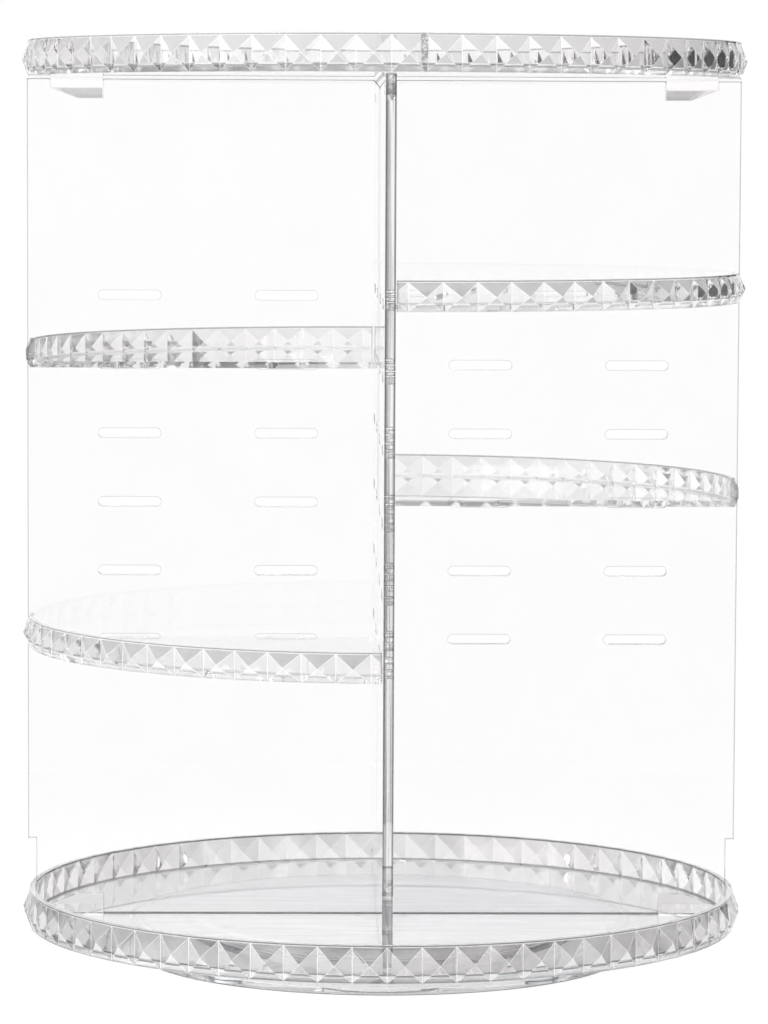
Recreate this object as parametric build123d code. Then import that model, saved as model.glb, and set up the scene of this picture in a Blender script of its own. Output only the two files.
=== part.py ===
from build123d import *
import math
import os

os.makedirs("parts", exist_ok=True)

# Rotating makeup organizer: two crossed clear panels stand between two round trays with
# diamond-faceted rims, four quarter-round trays hang on the panels by tabs, and the whole
# tower turns on a shallow foot with a ball ring. Millimetres, +Z up, origin on the axis
# where the foot's pads meet the table.

# Round trays
tray_radius = 115.0
diamond_depth = 2.0
rim_wall = 1.7
diamonds_per_circle = 68
rim_height = 11.5
quarter_rim_height = 9.4
lip_height = 0.7
tray_floor = 2.0
cove_radius = 1.0

# Crossed panels
panel_height = 267.5
panel_past_valleys = 0.5
panel_thickness = 3.2
panel_step_height = 24.5
rim_clearance = 0.4
cross_clearance = 0.1
cross_lead_width = 1.7
cross_lead_depth = 2.0

# Slots in the panels
slot_rows = 6
first_row_drop = 68.5
row_pitch = 22.0
slot_length = 20.0
slot_height = 3.0
inner_slot_x = 31.0
outer_slot_inset = 32.5

# Quarter trays and their tabs
tray_gap = 0.3
tab_width = 12.4
tab_corner = 2.0
tab_short_of_face = 0.2
tab_seat_gap = 0.2
inner_corner = 3.0
tray_rows = {
    "quarter_tray_front_right": (1, 270),
    "quarter_tray_back_left": (2, 90),
    "quarter_tray_back_right": (4, 0),
    "quarter_tray_front_left": (6, 180),
}

# Lugs that key the round trays to the panels
lug_rim_gap = 5.3
lug_length = 16.4
lug_height = 6.5
lug_straight = 3.2
lug_flat_length = 7.8
lug_tip_thickness = 1.2
lug_clearance = 0.2
top_tray_lift = 0.5

# Gate rib: where the top tray's moulding was cut off its runner
gate_angle = -85.1
gate_rib_width = 2.0
gate_rib_depth = 1.4

# Foot
foot_radius = 78.5
foot_flange_step = 1.2
foot_flange_height = 2.0
foot_wall = 1.6
foot_floor = 1.8
foot_height = 9.7
foot_gap = 0.3
pad_proud = 0.5
pad_radius = 6.0
pad_thickness = 1.5
pad_chamfer = 0.25
pad_clearance = 0.1
pad_count = 4

# Ball ring
ball_radius = 2.5
ball_sink = 1.0
ball_count = 12
race_inset = 12.7
race_width = 10.0
race_clearance = 0.1
groove_clearance = 0.3
lower_race_height = 1.2
cage_thickness = 2.0
cage_side_clearance = 0.5
cage_hole_clearance = 0.2

# Pivot under the base tray
hub_radius = 9.1
hub_wall = 1.8
hub_core_radius = 3.6
hub_ribs = 4
hub_rib_width = 1.2
hub_clearance = 0.15
socket_wall = 1.8
socket_height = 4.6
hat_rise = 3.1
hat_floor = 1.6
washer_radius = 12.0
washer_thickness = 1.0
washer_clearance = 0.2
pocket_clearance = 1.0
screw_radius = 1.5
screw_length = 6.0
screw_hole_clearance = 0.05
screw_hole_spare = 0.6
screw_head_radius = 2.9
screw_head_height = 1.7
screw_head_round = 0.7
screw_tip_chamfer = 0.6
recess_length = 3.4
recess_width = 0.7
recess_depth = 0.8

# How far a cutting tool runs past the faces that it cuts
cut_overshoot = 5.0

# Radii of the trays, and what lines up with them
valley_radius = tray_radius - diamond_depth
rim_inner_radius = valley_radius - rim_wall
panel_half = valley_radius + panel_past_valleys
outer_slot_x = panel_half - outer_slot_inset
lug_outer_radius = rim_inner_radius - lug_rim_gap
lug_inner_radius = lug_outer_radius - lug_length
race_radius = foot_radius - foot_flange_step - foot_wall - race_inset

# Heights of the stack
foot_bottom = pad_proud
foot_floor_top = foot_bottom + foot_floor
base_bottom = foot_bottom + foot_height + foot_gap
base_floor_top = base_bottom + tray_floor
panel_bottom = base_floor_top
panel_top = panel_bottom + panel_height
top_bottom = panel_top + top_tray_lift
diamond_step = 360.0 / diamonds_per_circle


def polar(radius, degrees, z):
    """A point at a radius and an angle about the axis."""
    turn = math.radians(degrees)
    return (radius * math.cos(turn), radius * math.sin(turn), z)


def tube(inner, outer, low, high):
    """A round ring between two radii and two heights."""
    profile = Pos(0, 0, low) * (Circle(outer) - Circle(inner))
    return extrude(profile, high - low)


def disc(radius, low, high):
    """A round plate between two heights."""
    return extrude(Pos(0, 0, low) * Circle(radius), high - low)


def diamond_drum(height, phase):
    """A closed drum whose wall is a row of four-sided pyramids below a plain lip.

    The phase is the first valley's place, in pyramids, counted from the X axis.
    """
    diamond_top = height - lip_height
    apex_z = diamond_top / 2
    angles = [(number + phase) * diamond_step for number in range(diamonds_per_circle)]
    bottom = [polar(valley_radius, angle, 0) for angle in angles]
    shoulder = [polar(valley_radius, angle, diamond_top) for angle in angles]
    top = [polar(valley_radius, angle, height) for angle in angles]
    faces = [Face(Wire.make_polygon(bottom)), Face(Wire.make_polygon(top))]
    for number, angle in enumerate(angles):
        after = (number + 1) % diamonds_per_circle
        apex = polar(tray_radius, angle + diamond_step / 2, apex_z)
        base = [bottom[number], bottom[after], shoulder[after], shoulder[number]]
        for side in range(4):
            faces.append(Face(Wire.make_polygon([base[side], base[(side + 1) % 4], apex])))
        lip = [shoulder[number], shoulder[after], top[after], top[number]]
        faces.append(Face(Wire.make_polygon(lip)))
    return Solid(Shell(faces))


def tray_hollow(height):
    """The space inside a tray's rim, with a cove where the rim meets the floor."""
    above = height + cut_overshoot
    with BuildPart() as hollow:
        with BuildSketch(Plane.XZ):
            with BuildLine():
                Line((0, tray_floor), (rim_inner_radius - cove_radius, tray_floor))
                CenterArc((rim_inner_radius - cove_radius, tray_floor + cove_radius),
                          cove_radius, 270, 90)
                Line((rim_inner_radius, tray_floor + cove_radius), (rim_inner_radius, above))
                Line((rim_inner_radius, above), (0, above))
                Line((0, above), (0, tray_floor))
            make_face()
        revolve(axis=Axis.Z)
    return hollow.part


def round_tray():
    """The moulding shared by the top tray and the base tray, floor down."""
    return diamond_drum(rim_height, 0) - tray_hollow(rim_height)


def lug_outline(clearance):
    """A lug's outline in the panel's plane, standing on z = 0 and pointing up."""
    inner = lug_inner_radius - clearance
    outer = lug_outer_radius + clearance
    flat_end = lug_inner_radius + lug_flat_length + clearance
    points = [(inner, 0), (outer, 0), (outer, lug_straight), (flat_end, lug_height), (inner, lug_height)]
    return make_face(Plane.XZ * Polyline(*points, close=True))


def lug():
    """One lug on the +X side, as thick as a panel, with its tip tapered to a wedge."""
    blade = extrude(lug_outline(0), panel_thickness / 2, both=True)
    half = panel_thickness / 2
    half_tip = lug_tip_thickness / 2
    section = make_face(Plane.YZ * Polyline(
        (-half, 0), (half, 0), (half, lug_straight), (half_tip, lug_height),
        (-half_tip, lug_height), (-half, lug_straight), close=True))
    wedge = extrude(section, lug_outer_radius)
    return blade & wedge


def four_lugs():
    """The four lugs of a round tray, one for each wing of the cross."""
    one = lug()
    return [Rot(0, 0, quarter * 90) * one for quarter in range(4)]


def lower_race_top():
    return foot_floor_top + lower_race_height


def ball_height():
    """Height of the balls' centres: they sink into the foot's groove."""
    return lower_race_top() + ball_radius - ball_sink


def race_groove():
    """The ring that both races are grooved with, a little larger than the balls."""
    groove_radius = ball_radius + groove_clearance
    shift = groove_clearance - race_clearance
    lower = Solid.make_torus(race_radius, groove_radius, Plane((0, 0, ball_height() + shift)))
    upper = Solid.make_torus(race_radius, groove_radius, Plane((0, 0, ball_height() - shift)))
    return lower, upper


def pivot_hub():
    """The hub under the base tray: a tube and a screw core, joined by ribs."""
    low = washer_top()
    core = disc(hub_core_radius, low, base_bottom)
    hub = tube(hub_radius - hub_wall, hub_radius, low, base_bottom) + core
    rib_length = hub_radius - hub_wall / 2
    rib = Pos(rib_length / 2, 0, (low + base_bottom) / 2) * Box(rib_length, hub_rib_width, base_bottom - low)
    hub += [Rot(0, 0, number * 360 / hub_ribs + 45) * rib for number in range(hub_ribs)]
    return hub - disc(screw_radius + screw_hole_clearance, low, low + screw_length + screw_hole_spare)


def base_tray():
    """Bottom round tray: four lugs on its floor, and under it the hub and the upper race."""
    upper_race_low = ball_height() + ball_radius - ball_sink
    body = Pos(0, 0, base_bottom) * round_tray()
    body += [Pos(0, 0, base_floor_top) * piece for piece in four_lugs()]
    race = tube(race_radius - race_width / 2, race_radius + race_width / 2, upper_race_low, base_bottom)
    body += race - race_groove()[1]
    return body + pivot_hub()


def gate_rib():
    """Flat upright bar in a valley of the rim, as high as the rim and rooted in its wall."""
    root = rim_wall / 2
    reach = root + gate_rib_depth
    bar = Pos(valley_radius - root + reach / 2, 0, rim_height / 2) * Box(reach, gate_rib_width, rim_height)
    return Rot(0, 0, gate_angle) * bar


def top_tray():
    """Upper round tray: the same moulding, with its lugs hanging down into the panels."""
    body = Pos(0, 0, top_bottom) * (round_tray() + gate_rib())
    flip = Rot(180, 0, 0)
    body += [Pos(0, 0, top_bottom) * flip * piece for piece in four_lugs()]
    return body


def slot_centre(row):
    """Height of a row of slots, counted from 1 at the top."""
    return panel_top - first_row_drop - (row - 1) * row_pitch


def cross_slot(low, high, open_at):
    """The half-height slot of the cross-lap joint, with a lead-in at its open end."""
    half = panel_thickness / 2 + cross_clearance
    inward = 1 if open_at == low else -1
    mouth = open_at + inward * cross_lead_depth
    slot = Polyline((-half, low), (half, low), (half, high), (-half, high), close=True)
    lead = Polyline((-half - cross_lead_width, open_at), (half + cross_lead_width, open_at),
                    (half, mouth), (-half, mouth), close=True)
    return make_face(Plane.XZ * slot) + make_face(Plane.XZ * lead)


def panel(open_from_top):
    """One flat panel in the XZ plane, cut to pass through the other one."""
    foot_half = rim_inner_radius - rim_clearance
    step_z = panel_bottom + panel_step_height
    sole_half = foot_half - cove_radius
    sole_z = panel_bottom + cove_radius
    wing = [(sole_half, panel_bottom), (foot_half, sole_z), (foot_half, step_z), (panel_half, step_z),
            (panel_half, panel_top)]
    mirrored = [(-across, height) for across, height in reversed(wing)]
    outline = make_face(Plane.XZ * Polyline(*wing, *mirrored, close=True))
    middle = panel_bottom + panel_height / 2
    if open_from_top:
        outline -= cross_slot(middle - cross_clearance, panel_top, panel_top)
    else:
        outline -= cross_slot(panel_bottom, middle + cross_clearance, panel_bottom)
    low_notch = Pos(0, 0, panel_bottom) * lug_outline(lug_clearance)
    high_notch = Pos(0, 0, top_bottom) * Rot(180, 0, 0) * lug_outline(lug_clearance)
    for wing in (0, 180):
        outline -= Rot(0, 0, wing) * low_notch
        outline -= Rot(0, 0, wing) * high_notch
    sheet = extrude(outline, panel_thickness / 2, both=True)
    window = extrude(Plane.XZ * SlotOverall(slot_length, slot_height), panel_thickness, both=True)
    places = []
    for row in range(1, slot_rows + 1):
        for across in (-outer_slot_x, -inner_slot_x, inner_slot_x, outer_slot_x):
            places.append(Pos(across, 0, slot_centre(row)) * window)
    return sheet - places


def quarter_tray():
    """One quarter-round tray in the +X +Y quarter, its floor's underside at z = 0."""
    edge = panel_thickness / 2 + tray_gap
    reach = tray_radius + cut_overshoot
    quarter = Polyline((edge, edge), (reach, edge), (reach, reach), (edge, reach), close=True)
    block = extrude(make_face(quarter), quarter_rim_height)
    corner = block.edges().filter_by(Axis.Z).sort_by(lambda line: line.center().X + line.center().Y)[0]
    block = fillet(corner, inner_corner)
    body = (diamond_drum(quarter_rim_height, 0.5) & block) - tray_hollow(quarter_rim_height)
    tab_reach = tray_gap + panel_thickness - tab_short_of_face
    tab = Pos(0, edge - tab_reach / 2 + tab_corner / 2, 0) * Rectangle(tab_width, tab_reach + tab_corner)
    tip_corners = tab.vertices().group_by(Axis.Y)[0]
    tab = extrude(fillet(tip_corners, tab_corner), tray_floor)
    for along in (inner_slot_x, outer_slot_x):
        body += Pos(along, 0, 0) * tab
        body += Pos(0, along, 0) * Rot(0, 0, -90) * tab
    return body


def washer_top():
    """The washer lies just under the raised middle of the foot's floor."""
    return foot_bottom + hat_rise - washer_clearance


def turntable_foot():
    """Shallow round pan that stands still: flange, wall, lower race and the hub's socket."""
    wall_outer = foot_radius - foot_flange_step
    top = foot_bottom + foot_height
    body = disc(foot_radius, foot_bottom, foot_bottom + foot_flange_height)
    body -= disc(wall_outer - foot_wall, foot_floor_top, foot_bottom + foot_flange_height)
    body += tube(wall_outer - foot_wall, wall_outer, foot_floor_top, top)
    race = tube(race_radius - race_width / 2, race_radius + race_width / 2, foot_floor_top, lower_race_top())
    body += race - race_groove()[0]
    pocket_radius = washer_radius + pocket_clearance
    hat_top = foot_bottom + hat_rise + hat_floor
    body += disc(pocket_radius + foot_wall, foot_bottom, hat_top)
    body -= disc(pocket_radius, foot_bottom, foot_bottom + hat_rise)
    bore = hub_radius + hub_clearance
    socket_low = foot_bottom + hat_rise
    body += tube(bore, bore + socket_wall, socket_low, socket_low + socket_height)
    body -= disc(bore, socket_low, top)
    for place in pad_places():
        body -= place * disc(pad_radius + pad_clearance, foot_bottom, pad_thickness)
    return body


def pad_places():
    turn = 360 / pad_count
    return [Rot(0, 0, turn / 2 + number * turn) * Pos(race_radius, 0, 0) for number in range(pad_count)]


def foot_pad():
    """Round anti-slip pad with a softened edge, seated in a pocket under the foot."""
    pad = disc(pad_radius, 0, pad_thickness)
    return chamfer(pad.edges().group_by(Axis.Z)[0], pad_chamfer)


def ball_places():
    turn = 360 / ball_count
    return [Rot(0, 0, number * turn) * Pos(race_radius, 0, ball_height()) for number in range(ball_count)]


def ball_cage():
    """Flat ring that keeps the balls apart."""
    half_width = race_width / 2 - cage_side_clearance
    low = ball_height() - cage_thickness / 2
    ring = tube(race_radius - half_width, race_radius + half_width, low, low + cage_thickness)
    hole = Cylinder(ball_radius + cage_hole_clearance, 2 * cage_thickness)
    return ring - [place * hole for place in ball_places()]


def pivot_washer():
    high = washer_top()
    return tube(screw_radius + screw_hole_clearance, washer_radius, high - washer_thickness, high)


def pivot_screw():
    """Pan-head screw driven up into the hub, with a cross recess in its head."""
    seat = washer_top() - washer_thickness
    head_low = seat - screw_head_height
    head = disc(screw_head_radius, head_low, seat)
    head = fillet(head.edges().group_by(Axis.Z)[0], screw_head_round)
    arm = Pos(0, 0, head_low) * Box(recess_length, recess_width, 2 * recess_depth)
    head -= [arm, Rot(0, 0, 90) * arm]
    shank = disc(screw_radius, seat, washer_top() + screw_length)
    shank = chamfer(shank.edges().group_by(Axis.Z)[-1], screw_tip_chamfer)
    return head + shank


def save(name, shape):
    shape.label = name
    export_step(shape, "parts/" + name + ".step")


save("turntable_foot", turntable_foot())
pad = foot_pad()
for number, place in enumerate(pad_places(), start=1):
    save("foot_pad_%d" % number, place * pad)

save("ball_cage", ball_cage())
for number, place in enumerate(ball_places(), start=1):
    save("bearing_ball_%02d" % number, place * Sphere(ball_radius))

save("pivot_washer", pivot_washer())
save("pivot_screw", pivot_screw())
save("base_tray", base_tray())
save("panel_left_right", panel(open_from_top=True))
save("panel_front_back", Rot(0, 0, 90) * panel(open_from_top=False))

one_tray = quarter_tray()
for name, (row, turn) in tray_rows.items():
    tray_z = slot_centre(row) - slot_height / 2 + tab_seat_gap
    save(name, Pos(0, 0, tray_z) * Rot(0, 0, turn) * one_tray)

save("top_tray", top_tray())
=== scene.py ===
import bpy
import math
from mathutils import Matrix, Vector


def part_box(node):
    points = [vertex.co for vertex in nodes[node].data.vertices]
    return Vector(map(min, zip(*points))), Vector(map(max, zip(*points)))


# The looks of the clear rotating organizer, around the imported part. Metres, +Z up.
# A noise is given by its scale, its detail and sometimes its roughness. A span is given by the
# values that it goes from and to, then the levels at both ends, which are 0 and 1 if not given.

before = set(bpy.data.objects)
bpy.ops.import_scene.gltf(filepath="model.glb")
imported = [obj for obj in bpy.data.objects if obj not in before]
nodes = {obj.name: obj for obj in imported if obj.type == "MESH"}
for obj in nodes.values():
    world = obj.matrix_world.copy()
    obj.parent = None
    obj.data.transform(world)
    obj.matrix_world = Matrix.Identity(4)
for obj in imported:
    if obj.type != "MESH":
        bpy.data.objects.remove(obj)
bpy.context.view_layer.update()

# Camera, at the photograph's viewing angle
camera_lens = 156.64
camera_place = (-0.0241, -1.4222, 0.2557)
camera_aim = (0.00036, 0.0, 0.1423)
camera_roll = 0.26

# Studio: white all round and below, with a ceiling that darkens sooner and deeper on the right.
# Its heights and sides are parts of a unit direction.
white_band_top = 0.08
ceiling_sides = (-0.2, 0.5)
ceiling_starts = (0.42, 0.26)
ceiling_darkness = (0.70, 0.99)
fill_level = 0.55
lamp_aim = (0, 0, 0.14)

# Black cards, by their turn from +Y towards +X: one far behind, one beside for mirror rays only
back_card = (0.40, 1.05)
side_card = (1.10, 2.4)
card_softness = 0.02
card_top_fade = (0.05, 0.08, 1.0, 0.0)
card_floor_fade = (3.0, 3.5)

# Floor: how its shadow, and the shade that shows through the plastic, fade with the distance
floor_size = 60.0
paper_white = (0.86, 0.86, 0.86)
shadow_fade = (0.1575, 0.45, 0.30, 0.0)
shade_fade = (0.12, 0.38, 0.12, 0.0)

# Clear plastic: its glass, its haze and how much light it keeps
clear_ior = 1.5
haze_white = (0.96, 0.96, 0.96)
depth_colour = (0.92, 0.92, 0.92)
lamp_light_kept = (0.93, 0.935, 0.94)
base_absorption = 8.0
tray_absorption = 3.0
panel_absorption = 1.5
panel_tone = 0.985
foot_tone = 0.95
cloud_noise = (22.0, 3.0)
cloud_share = 0.03
smear_noise = (60.0, 4.0, 0.6)
smear_gloss = (0.45, 0.75, 0.015, 0.04)
smear_haze = (0.3, 0.8, 0.012, 0.032)
ripple_noise = (45.0, 1.0)
ripple_depth = 0.00001

# The base tray's floor: a matt texture under its middle, and scratches on its face
matt_depth = 0.0005
matt_roughness = 0.5
matt_haze = 0.95
middle_radius = 0.079
middle_fade = 0.003
scratch_tone = 0.78
scratch_share = (0.075, 0.083, 0.30, 0.02)
scratch_stretch = (0.12, 1, 1)
scratch_noise = (260.0, 4.0, 0.7)
scratch_levels = (0.35, 0.7, 0.92, 1.08)
scratch_depths = (-0.0003, 0.0005)
face_up_tilt = (0.85, 0.95)

# Painted shade on the trays' facets, by their outward direction, in uneven patches; a faint pink blush; the
# floor's grey
facet_tilt = (0.12, 0.22)
level_tilt = (0.8, 0.9, 1.0, 0.0)
facet_turn = (0.05, 0.25)
end_turn = (0.75, 0.95)
end_shade = 0.30
facet_shade_noise = (70.0, 1.0)
facet_shade_levels = (0.35, 0.65, 0.85, 1.15)
blush_noise = (9.0, 2.0)
blush_levels = (0.4, 0.65)
blush_colour = (1.0, 0.975, 0.982)
floor_tone = 0.90

# Edges: a painted highlight along the rims' ridges, and soft steps between painted places
bevel_samples = 8
ridge_width = 0.0004
ridge_highlight_white = (0.97, 0.97, 0.97)
ridge_share = 0.6
edge_turn = (0.975, 0.995, 1.0, 0.0)
step_width = 0.0001
fine_step_width = 0.00005

# Dark lines of painted shade on the trays, those of the rims on upright faces, and the gate's dark marks
outline_tone = 0.04
upright_tilt = (0.5, 0.7, 1.0, 0.0)
rim_line_width = 0.00055
rim_line_inset = 0.0005
outward_fade = (0.0003, 0.001)
outward_share = 0.5
cove_line_rise = (0.0001, 0.0009)
cove_line_inset = (0.0011, 0.0001)
quarter_side_reach = 0.0023
quarter_side_share = 0.40
gate_angle = math.radians(-85.1)
gate_half_width = 0.0011
gate_noise = (900.0, 3.0)
gate_levels = (0.42, 0.58, 0.15, 0.55)

# Dark lines of painted shade on the panels and the foot
outline_reach = 0.0005
outline_share = 0.25
slot_share = 0.15
end_line_share = 0.65
facing = 0.7
mouth_depth = 0.0027
mouth_half = 0.0042
mouth_share = 0.9
sole_depth = 0.0003
sole_share = 0.7
side_tone = 0.96
side_line_width = 0.00055
side_line_share = 0.62
streak_stretch = (1, 1, 0.008)
streak_noise = (1500.0, 1.0)
streak_levels = (0.5, 0.62, 0.0, 0.35)
panel_step_fade = (0.035, 0.037, 0.3, 1.0)
foot_line_share = 0.9

# Sizes of the part that the paint goes by
rim_height = 0.0115
quarter_rim_height = 0.0094
floor_thickness = 0.002
rim_inner_radius = 0.1113
facet_radius = 0.1125
panel_foot_half = 0.1109
half_thickness = 0.0016

# The trays. Tones are the light left by the painted shade on the facets that look up, down, left and right,
# and the grey of the floor's middle. Lines are the shares of painted shade lines at the rim's top, at its
# bottom and in the cove.
base_look = dict(height=rim_height, tones=(0.46, 0.76, 0.74, 0.50), middle_tone=0.58,
                 lines=(0.85, 0.35, 0.65), absorption=base_absorption, worn_floor=True)
top_look = dict(height=rim_height, tones=(0.84, 1.0, 1.0, 0.82), middle_tone=floor_tone,
                lines=(0.4, 0.25, 0.5), absorption=tray_absorption)
quarter_look = dict(height=quarter_rim_height, tones=(0.66, 0.93, 0.93, 0.78), middle_tone=floor_tone,
                    lines=(0.5, 0.2, 0.15), absorption=tray_absorption)

# Opaque pieces: how their grain varies them
speck_noise = (400.0, 4.0)
speck_levels = (0.3, 0.7)
roughness_range = (0.8, 1.3)

light_bounces = 256
transparent_bounces = 32


def make_camera():
    data = bpy.data.cameras.new("camera")
    data.sensor_width = 36.0
    data.lens = camera_lens
    data.clip_start = 0.05
    data.clip_end = 200.0
    camera = bpy.data.objects.new("camera", data)
    bpy.context.scene.collection.objects.link(camera)
    bpy.context.scene.camera = camera
    direction = Vector(camera_aim) - Vector(camera_place)
    turn = direction.to_track_quat("-Z", "Y").to_matrix().to_4x4()
    roll = Matrix.Rotation(math.radians(camera_roll), 4, "Z")
    camera.matrix_world = Matrix.Translation(camera_place) @ turn @ roll


def new_material(name):
    material = bpy.data.materials.new(name)
    material.use_nodes = True
    return material


class Tree:
    """Short calls for building a node tree. Values may be numbers, colours or other outputs."""

    def __init__(self, tree):
        self.tree = tree
        self.tree.nodes.clear()

    def node(self, kind, **values):
        made = self.tree.nodes.new(kind)
        for name, value in values.items():
            setattr(made, name, value)
        return made

    def feed(self, socket, value):
        if isinstance(value, bpy.types.NodeSocket):
            self.tree.links.new(value, socket)
        elif isinstance(value, tuple):
            socket.default_value = (*value, 1)
        else:
            socket.default_value = value

    def maths(self, operation, *values):
        made = self.node("ShaderNodeMath", operation=operation)
        for socket, value in zip(made.inputs, values):
            self.feed(socket, value)
        return made.outputs[0]

    def times(self, first, *others):
        """All the values multiplied together."""
        for value in others:
            first = self.maths("MULTIPLY", first, value)
        return first

    def most(self, first, *others):
        """The highest of the values."""
        for value in others:
            first = self.maths("MAXIMUM", first, value)
        return first

    def rest(self, value):
        """What is left of 1."""
        return self.maths("SUBTRACT", 1.0, value)

    def parts(self, vector):
        """The X, Y and Z of a vector."""
        made = self.node("ShaderNodeSeparateXYZ")
        self.feed(made.inputs[0], vector)
        return made.outputs

    def length(self, vector):
        made = self.node("ShaderNodeVectorMath", operation="LENGTH")
        self.feed(made.inputs[0], vector)
        return made.outputs["Value"]

    def span(self, value, low, high, to_low=0.0, to_high=1.0):
        """A value that eases from one level to another while the input goes from low to high."""
        made = self.node("ShaderNodeMapRange", clamp=True, interpolation_type="SMOOTHSTEP")
        for socket, number in zip(made.inputs, (value, low, high, to_low, to_high)):
            self.feed(socket, number)
        return made.outputs["Result"]

    def noise(self, where, scale, detail, roughness=0.5):
        made = self.node("ShaderNodeTexNoise")
        self.feed(made.inputs["Vector"], where)
        self.feed(made.inputs["Scale"], scale)
        self.feed(made.inputs["Detail"], detail)
        self.feed(made.inputs["Roughness"], roughness)
        return made.outputs["Fac"]

    def stretched(self, where, scale):
        """A place scaled along each axis, which draws a noise out into streaks."""
        made = self.node("ShaderNodeMapping")
        self.feed(made.inputs["Vector"], where)
        made.inputs["Scale"].default_value = scale
        return made.outputs[0]

    def bump(self, distance, height):
        made = self.node("ShaderNodeBump")
        self.feed(made.inputs["Distance"], distance)
        self.feed(made.inputs["Height"], height)
        return made.outputs[0]

    def blend(self, share, low, high):
        """A colour between two, by a share from 0 to 1."""
        made = self.node("ShaderNodeMix", data_type="RGBA")
        self.feed(made.inputs["Factor"], share)
        self.feed(made.inputs[6], low)
        self.feed(made.inputs[7], high)
        return made.outputs[2]

    def mix(self, share, low, high):
        """A shader between two, by a share from 0 to 1."""
        made = self.node("ShaderNodeMixShader")
        self.feed(made.inputs["Fac"], share)
        self.feed(made.inputs[1], low)
        self.feed(made.inputs[2], high)
        return made.outputs[0]

    def diffuse(self, colour):
        made = self.node("ShaderNodeBsdfDiffuse")
        self.feed(made.inputs["Color"], colour)
        return made.outputs[0]

    def white(self, kind, strength):
        """White light, from a world's background or an emission."""
        made = self.node(kind)
        self.feed(made.inputs["Color"], (1, 1, 1))
        self.feed(made.inputs["Strength"], strength)
        return made.outputs[0]


def card(t, x, y, start, end):
    """1 in the directions where a black card stands."""
    turn = t.maths("ARCTAN2", x, y)
    past_start = t.span(turn, start - card_softness, start)
    return t.times(past_start, t.span(turn, end, end + card_softness, 1.0, 0.0))


def make_world():
    """Diffuse rays get one even fill; all others see the surround."""
    world = bpy.data.worlds.new("studio")
    bpy.context.scene.world = world
    world.use_nodes = True
    t = Tree(world.node_tree)
    x, y, z = t.parts(t.node("ShaderNodeTexCoord").outputs["Generated"])
    path = t.node("ShaderNodeLightPath").outputs
    start = t.span(x, *ceiling_sides, *ceiling_starts)
    ceiling = t.times(t.span(z, white_band_top, start), t.span(x, *ceiling_sides, *ceiling_darkness))
    low = t.span(z, *card_top_fade)
    back = t.times(card(t, x, y, *back_card), low, t.rest(path["Is Camera Ray"]))
    side = t.times(card(t, x, y, *side_card), low, path["Is Glossy Ray"])
    seen = t.white("ShaderNodeBackground", t.rest(t.most(back, side, ceiling)))
    fill = t.white("ShaderNodeBackground", fill_level)
    out = t.node("ShaderNodeOutputWorld")
    t.feed(out.inputs["Surface"], t.mix(path["Is Diffuse Ray"], seen, fill))


def make_floor():
    """White paper that keeps the object's shadow, a little greyer where the plastic shows it."""
    mesh = bpy.data.meshes.new("floor")
    half = floor_size / 2
    corners = [(-half, -half, 0), (half, -half, 0), (half, half, 0), (-half, half, 0)]
    mesh.from_pydata(corners, [], [(0, 1, 2, 3)])
    floor = bpy.data.objects.new("floor", mesh)
    bpy.context.scene.collection.objects.link(floor)
    material = new_material("floor_paper")
    t = Tree(material.node_tree)
    place = t.node("ShaderNodeNewGeometry").outputs["Position"]
    x, y = t.parts(place)[:2]
    away = t.length(place)
    path = t.node("ShaderNodeLightPath").outputs
    shade = t.times(t.span(away, *shade_fade), path["Is Transmission Ray"])
    dark = t.most(t.span(away, *shadow_fade), shade)
    seen = t.most(path["Is Camera Ray"], path["Is Glossy Ray"], path["Is Transmission Ray"])
    lit = t.white("ShaderNodeEmission", 1.0)
    paper = t.mix(t.times(seen, t.rest(dark)), t.diffuse(paper_white), lit)
    back = t.times(card(t, x, y, *back_card), t.span(away, *card_floor_fade), t.rest(path["Is Camera Ray"]))
    out = t.node("ShaderNodeOutputMaterial")
    t.feed(out.inputs["Surface"], t.mix(back, paper, t.white("ShaderNodeEmission", 0.0)))
    mesh.materials.append(material)


def softbox(name, place, size, power):
    """An area lamp aimed at the object's middle, which mirror rays don't see."""
    data = bpy.data.lights.new(name, "AREA")
    data.shape = "RECTANGLE"
    data.size, data.size_y = size
    data.energy = power
    lamp = bpy.data.objects.new(name, data)
    lamp.visible_glossy = False
    bpy.context.scene.collection.objects.link(lamp)
    aim = Vector(lamp_aim) - Vector(place)
    lamp.matrix_world = Matrix.Translation(place) @ aim.to_track_quat("-Z", "Y").to_matrix().to_4x4()


def grey(tone):
    """A grey with the faintest pink."""
    return (tone, tone * 0.994, tone * 0.996)


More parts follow.
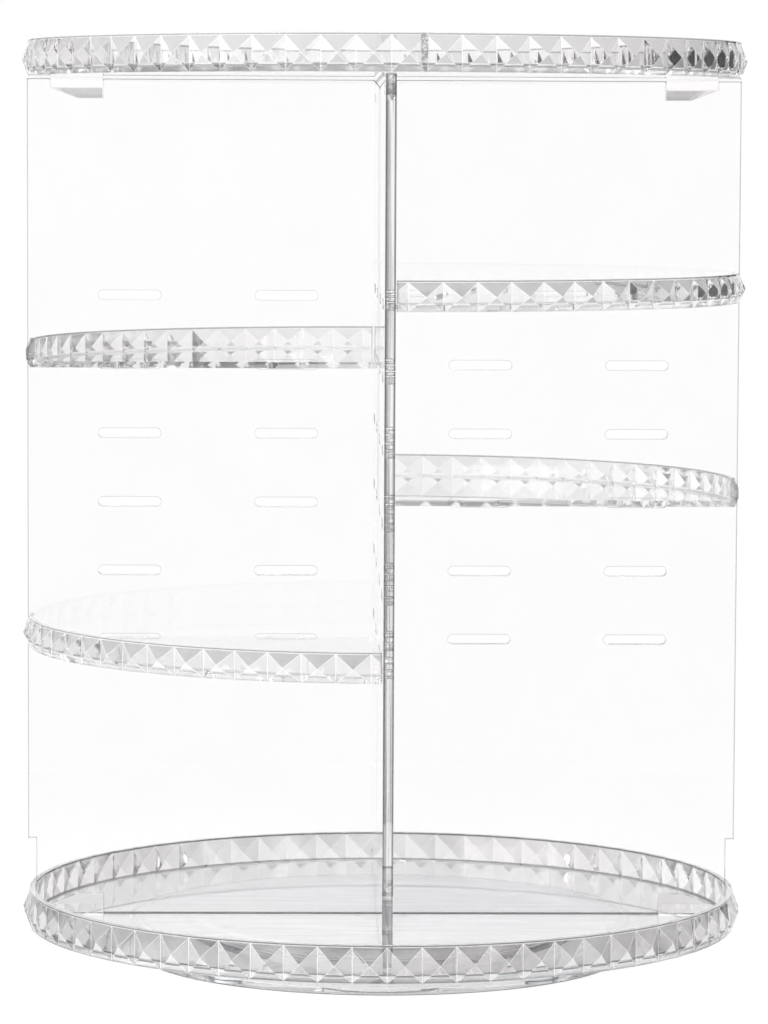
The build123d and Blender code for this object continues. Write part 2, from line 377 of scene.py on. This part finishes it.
class ClearPlastic(Tree):
    """Clear moulded plastic: glassy, faintly hazy, grey along its depth, with a painted highlight and
    painted shade lines along its edges.
    """

    def __init__(self, name):
        self.material = new_material(name)
        super().__init__(self.material.node_tree)
        self.where = self.node("ShaderNodeTexCoord").outputs["Object"]
        self.x, self.y, self.z = self.parts(self.where)
        flat = self.node("ShaderNodeCombineXYZ")
        self.feed(flat.inputs["X"], self.x)
        self.feed(flat.inputs["Y"], self.y)
        self.radius = self.length(flat.outputs[0])

    def over(self, value, level, width=step_width):
        """1 where the value is over the level, else 0, with a soft step."""
        return self.span(value, level - width, level + width)

    def under(self, value, level, width=step_width):
        return self.span(value, level - width, level + width, 1.0, 0.0)

    def between(self, value, low, high):
        return self.times(self.over(value, low), self.under(value, high))

    def normal(self):
        """The outward direction of the surface, also where it is seen from the inside."""
        back = self.node("ShaderNodeNewGeometry").outputs["Backfacing"]
        outward = self.node("ShaderNodeVectorMath", operation="SCALE")
        self.feed(outward.inputs[0], self.node("ShaderNodeTexCoord").outputs["Normal"])
        self.feed(outward.inputs["Scale"], self.maths("MULTIPLY_ADD", back, -2.0, 1.0))
        return self.parts(outward.outputs[0])

    def edges(self):
        """1 on a sharp edge, falling to 0 within the ridges' width from it."""
        rounded = self.node("ShaderNodeBevel", samples=bevel_samples)
        self.feed(rounded.inputs["Radius"], ridge_width)
        turned = self.node("ShaderNodeVectorMath", operation="DOT_PRODUCT")
        self.feed(turned.inputs[0], rounded.outputs[0])
        self.feed(turned.inputs[1], self.node("ShaderNodeNewGeometry").outputs["Normal"])
        return self.span(turned.outputs["Value"], *edge_turn)

    def finish(self, colour, absorption, ridge, dark, matt=None, worn=None):
        """Joins the shaders: ridge is where edges get a white painted highlight, and dark is where
        near-black lines go, most of them painted shade.

        Matt is where a texture hides what lies under the floor, and worn is how strongly the
        floor's face is scratched.
        """
        shader = self.node("ShaderNodeBsdfPrincipled")
        shader.inputs["Transmission Weight"].default_value = 1.0
        shader.inputs["IOR"].default_value = clear_ior
        cloud = self.noise(self.where, *cloud_noise)
        clouded = self.blend(cloud_share, colour, (0, 0, 0))
        self.feed(shader.inputs["Base Color"], self.blend(cloud, colour, clouded))
        smear = self.noise(self.where, *smear_noise)
        gloss = self.span(smear, *smear_gloss)
        haze = self.span(smear, *smear_haze)
        if matt is not None:
            gloss = self.maths("MULTIPLY_ADD", matt, matt_roughness, gloss)
            haze = self.maths("MULTIPLY_ADD", matt, matt_haze, haze)
        self.feed(shader.inputs["Roughness"], gloss)
        self.feed(shader.inputs["Normal"], self.bump(ripple_depth, self.noise(self.where, *ripple_noise)))
        face = self.mix(haze, shader.outputs[0], self.diffuse(haze_white))
        if worn is not None:
            scratches = self.noise(self.stretched(self.where, scratch_stretch), *scratch_noise)
            worn = self.times(worn, self.span(scratches, *scratch_levels))
            face = self.mix(worn, face, self.diffuse(grey(scratch_tone)))
        face = self.mix(ridge, face, self.diffuse(ridge_highlight_white))
        face = self.mix(dark, face, self.diffuse(grey(outline_tone)))
        lamp_way = self.node("ShaderNodeBsdfTransparent")
        self.feed(lamp_way.inputs["Color"], lamp_light_kept)
        path = self.node("ShaderNodeLightPath").outputs
        depth = self.node("ShaderNodeVolumeAbsorption")
        self.feed(depth.inputs["Color"], depth_colour)
        self.feed(depth.inputs["Density"], absorption)
        out = self.node("ShaderNodeOutputMaterial")
        self.feed(out.inputs["Surface"], self.mix(path["Is Shadow Ray"], face, lamp_way.outputs[0]))
        self.feed(out.inputs["Volume"], depth.outputs[0])
        return self.material


def facet_colour(t, normal, edge, tones, plate, middle_tone):
    """Painted shade greys the facets by the way they face and towards the rim's ends, in uneven patches,
    and leaves the ridges. The floor plate gets a plain grey, with another grey over its middle.
    """
    facet_up, facet_down, facet_left, facet_right = tones
    x, y, z = normal
    below = t.times(z, -1.0)
    up = t.times(t.span(z, *facet_tilt), t.span(z, *level_tilt))
    down = t.times(t.span(below, *facet_tilt), t.span(below, *level_tilt))
    # The lean to the right as seen from the front, which fades towards the left and right ends
    along = t.maths("DIVIDE", t.maths("SUBTRACT", t.times(y, t.x), t.times(x, t.y)), t.radius)
    right = t.times(along, t.maths("DIVIDE", t.times(t.y, -1.0), t.radius))
    # Painted shade: each way of facing takes away a set share of the light
    shade = t.times(up, 1 - facet_up)
    shade = t.maths("MULTIPLY_ADD", down, 1 - facet_down, shade)
    shade = t.maths("MULTIPLY_ADD", t.span(right, *facet_turn), 1 - facet_right, shade)
    shade = t.maths("MULTIPLY_ADD", t.span(t.times(right, -1.0), *facet_turn), 1 - facet_left, shade)
    shade = t.maths("MULTIPLY_ADD", t.span(t.maths("ABSOLUTE", x), *end_turn), end_shade, shade)
    shade_patches = t.span(t.noise(t.where, *facet_shade_noise), *facet_shade_levels)
    shade = t.times(shade, t.over(t.radius, facet_radius), t.rest(edge), shade_patches)
    clear = t.blend(t.span(t.noise(t.where, *blush_noise), *blush_levels), (1, 1, 1), blush_colour)
    middle = t.under(t.radius, middle_radius, middle_fade)
    plate_colour = t.blend(middle, grey(floor_tone), grey(middle_tone))
    return t.blend(shade, t.blend(plate, clear, plate_colour), (0, 0, 0))


def gate_mark(t):
    """The broken-off gate in the rim: rough dark streaks on its bar."""
    along_x = t.times(t.x, math.cos(gate_angle))
    along = t.maths("MULTIPLY_ADD", t.y, math.sin(gate_angle), along_x)
    across_x = t.times(t.x, -math.sin(gate_angle))
    across = t.maths("MULTIPLY_ADD", t.y, math.cos(gate_angle), across_x)
    bar = t.times(t.over(along, rim_inner_radius), t.under(t.maths("ABSOLUTE", across), gate_half_width))
    return t.times(bar, t.span(t.noise(t.where, *gate_noise), *gate_levels))


def tray_plastic(name, height, tones, middle_tone, lines, absorption, worn_floor=False):
    """A tray's plastic: facets greyed by painted shade between ridges with a painted highlight, and painted
    shade lines along the rim and the cove.
    """
    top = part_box(name)[1].z
    bottom = top - height
    floor_top = bottom + floor_thickness
    top_line, bottom_line, cove_line = lines
    t = ClearPlastic(name + "_plastic")
    normal = t.normal()
    edge = t.edges()
    plate = t.between(t.z, bottom - step_width, floor_top + step_width)
    plate = t.times(plate, t.under(t.radius, facet_radius))
    colour = facet_colour(t, normal, edge, tones, plate, middle_tone)

    # The rim's painted shade lines, of which the upper one is weaker on the outside
    rim = t.over(t.radius, rim_inner_radius - rim_line_inset)
    inside, outside = (rim_inner_radius + reach for reach in outward_fade)
    upper = t.span(t.radius, inside, outside, top_line, top_line * outward_share)
    upper = t.times(upper, t.over(t.z, top - rim_line_width))
    lower = t.times(t.under(t.z, bottom + rim_line_width), bottom_line)
    upright = t.span(t.maths("ABSOLUTE", normal[2]), *upright_tilt)
    dark = t.times(t.most(upper, lower), upright, rim)

    # A painted shade line in the cove, where the rim meets the floor
    low, high = (floor_top + rise for rise in cove_line_rise)
    start, end = (rim_inner_radius - inset for inset in cove_line_inset)
    ring = t.times(t.over(t.radius, start), t.under(t.radius, end, fine_step_width))
    dark = t.most(dark, t.times(t.between(t.z, low, high), ring, cove_line))
    # Painted shade darkens the quarter trays' cut ends
    if name.startswith("quarter"):
        side = t.maths("MINIMUM", t.maths("ABSOLUTE", t.x), t.maths("ABSOLUTE", t.y))
        side = t.times(t.under(side, quarter_side_reach), t.over(t.radius, rim_inner_radius))
        dark = t.most(dark, t.times(side, quarter_side_share))
    if name == "top_tray":
        dark = t.most(dark, gate_mark(t))

    matt = worn = None
    if worn_floor:
        matt = t.times(t.under(t.z, bottom + matt_depth), t.under(t.radius, middle_radius, middle_fade))
        low, high = (floor_top + depth for depth in scratch_depths)
        worn = t.times(t.span(normal[2], *face_up_tilt), t.between(t.z, low, high))
        worn = t.times(worn, t.under(t.radius, rim_inner_radius), t.span(t.radius, *scratch_share))
    return t.finish(colour, absorption, t.times(edge, rim, ridge_share), dark, matt, worn)


def end_bands(t, low, high):
    """1 along the lower and the upper end of a piece."""
    return t.most(t.over(t.z, high.z - outline_reach), t.under(t.z, low.z + outline_reach))


def panel_plastic(name, along, through):
    """A panel's plastic. Its outer edges get painted shade lines on both sides, more strongly than its
    slots.
    """
    low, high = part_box(name)
    t = ClearPlastic(name + "_plastic")
    reach = t.maths("ABSOLUTE", getattr(t, along))
    depth = t.maths("ABSOLUTE", getattr(t, through))
    normal = t.parts(t.node("ShaderNodeTexCoord").outputs["Normal"])
    side = t.over(t.maths("ABSOLUTE", normal[along.upper()]), facing)
    face = t.over(t.maths("ABSOLUTE", normal[through.upper()]), facing)
    rim = t.over(reach, panel_foot_half - outline_reach)
    rim_side = t.times(side, rim)

    # Painted shade lines on the sawn edges, on the cross slot's mouth and along the sole
    edge = t.edges()
    outer = t.span(rim, 0.0, 1.0, slot_share, outline_share)
    dark = t.times(edge, t.most(outer, t.times(end_bands(t, low, high), end_line_share)))
    mouth = t.times(t.over(t.z, high.z - mouth_depth), t.under(reach, mouth_half))
    dark = t.most(dark, t.times(edge, mouth, mouth_share))
    dark = t.most(dark, t.times(face, t.under(t.z, low.z + sole_depth), sole_share))

    # Painted shade lines and streaks on the narrow outer sides, weaker below the step
    line = t.times(rim_side, t.over(depth, half_thickness - side_line_width), side_line_share)
    streaks = t.span(t.noise(t.stretched(t.where, streak_stretch), *streak_noise), *streak_levels)
    line = t.times(t.most(line, t.times(rim_side, streaks)), t.span(t.z, *panel_step_fade))
    colour = t.blend(rim_side, grey(panel_tone), grey(side_tone))
    return t.finish(colour, panel_absorption, 0.0, t.most(dark, line))


def foot_plastic():
    low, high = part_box("turntable_foot")
    t = ClearPlastic("foot_plastic")
    # Painted shade lines along the foot's upper and lower ends
    dark = t.times(t.edges(), foot_line_share, end_bands(t, low, high))
    return t.finish(grey(foot_tone), base_absorption, 0.0, dark)


def solid_finish(name, low, high, roughness, metallic=0.0, subsurface=0.0):
    """An opaque finish whose colour, roughness and surface vary with a fine grain."""
    material = new_material(name)
    t = Tree(material.node_tree)
    shader = t.node("ShaderNodeBsdfPrincipled")
    shader.inputs["Metallic"].default_value = metallic
    shader.inputs["Subsurface Weight"].default_value = subsurface
    speck = t.noise(t.node("ShaderNodeTexCoord").outputs["Object"], *speck_noise)
    smoothest, roughest = (roughness * part for part in roughness_range)
    t.feed(shader.inputs["Base Color"], t.blend(speck, low, high))
    t.feed(shader.inputs["Roughness"], t.span(speck, *speck_levels, smoothest, roughest))
    t.feed(shader.inputs["Normal"], t.bump(ripple_depth, speck))
    out = t.node("ShaderNodeOutputMaterial")
    t.feed(out.inputs["Surface"], shader.outputs[0])
    return material


def dress(name, material):
    """Gives a CAD node its finish."""
    mesh = nodes[name].data
    mesh.materials.clear()
    mesh.materials.append(material)


make_camera()
make_world()
make_floor()
softbox("key_top", place=(0.0, -0.35, 1.6), size=(1.2, 1.2), power=14.0)
softbox("left_side", place=(-1.1, -1.0, 0.75), size=(1.1, 1.4), power=20.0)
softbox("right_side", place=(1.3, -0.4, 1.0), size=(0.6, 1.0), power=5.0)

dress("base_tray", tray_plastic("base_tray", **base_look))
dress("top_tray", tray_plastic("top_tray", **top_look))
for name in sorted(nodes):
    if name.startswith("quarter_tray"):
        dress(name, tray_plastic(name, **quarter_look))

dress("panel_left_right", panel_plastic("panel_left_right", "x", "y"))
dress("panel_front_back", panel_plastic("panel_front_back", "y", "x"))
dress("turntable_foot", foot_plastic())

pad_rubber = solid_finish("pad_rubber", (0.74, 0.75, 0.76), (0.84, 0.85, 0.86), 0.65, subsurface=0.1)
ball_plastic = solid_finish("ball_plastic", (0.92, 0.92, 0.91), (0.96, 0.96, 0.95), 0.15)
steel = solid_finish("fastener_steel", (0.62, 0.63, 0.65), (0.74, 0.75, 0.77), 0.25, metallic=1.0)
for name in nodes:
    if name.startswith("foot_pad"):
        dress(name, pad_rubber)
    elif name.startswith("bearing_ball"):
        dress(name, ball_plastic)
dress("ball_cage", solid_finish("cage_plastic", (0.88, 0.88, 0.87), (0.93, 0.93, 0.92), 0.45))
dress("pivot_washer", steel)
dress("pivot_screw", steel)

cycles = bpy.context.scene.cycles
cycles.max_bounces = light_bounces
cycles.transmission_bounces = light_bounces
cycles.glossy_bounces = light_bounces
cycles.transparent_max_bounces = transparent_bounces

bpy.context.scene.view_settings.view_transform = "Standard"
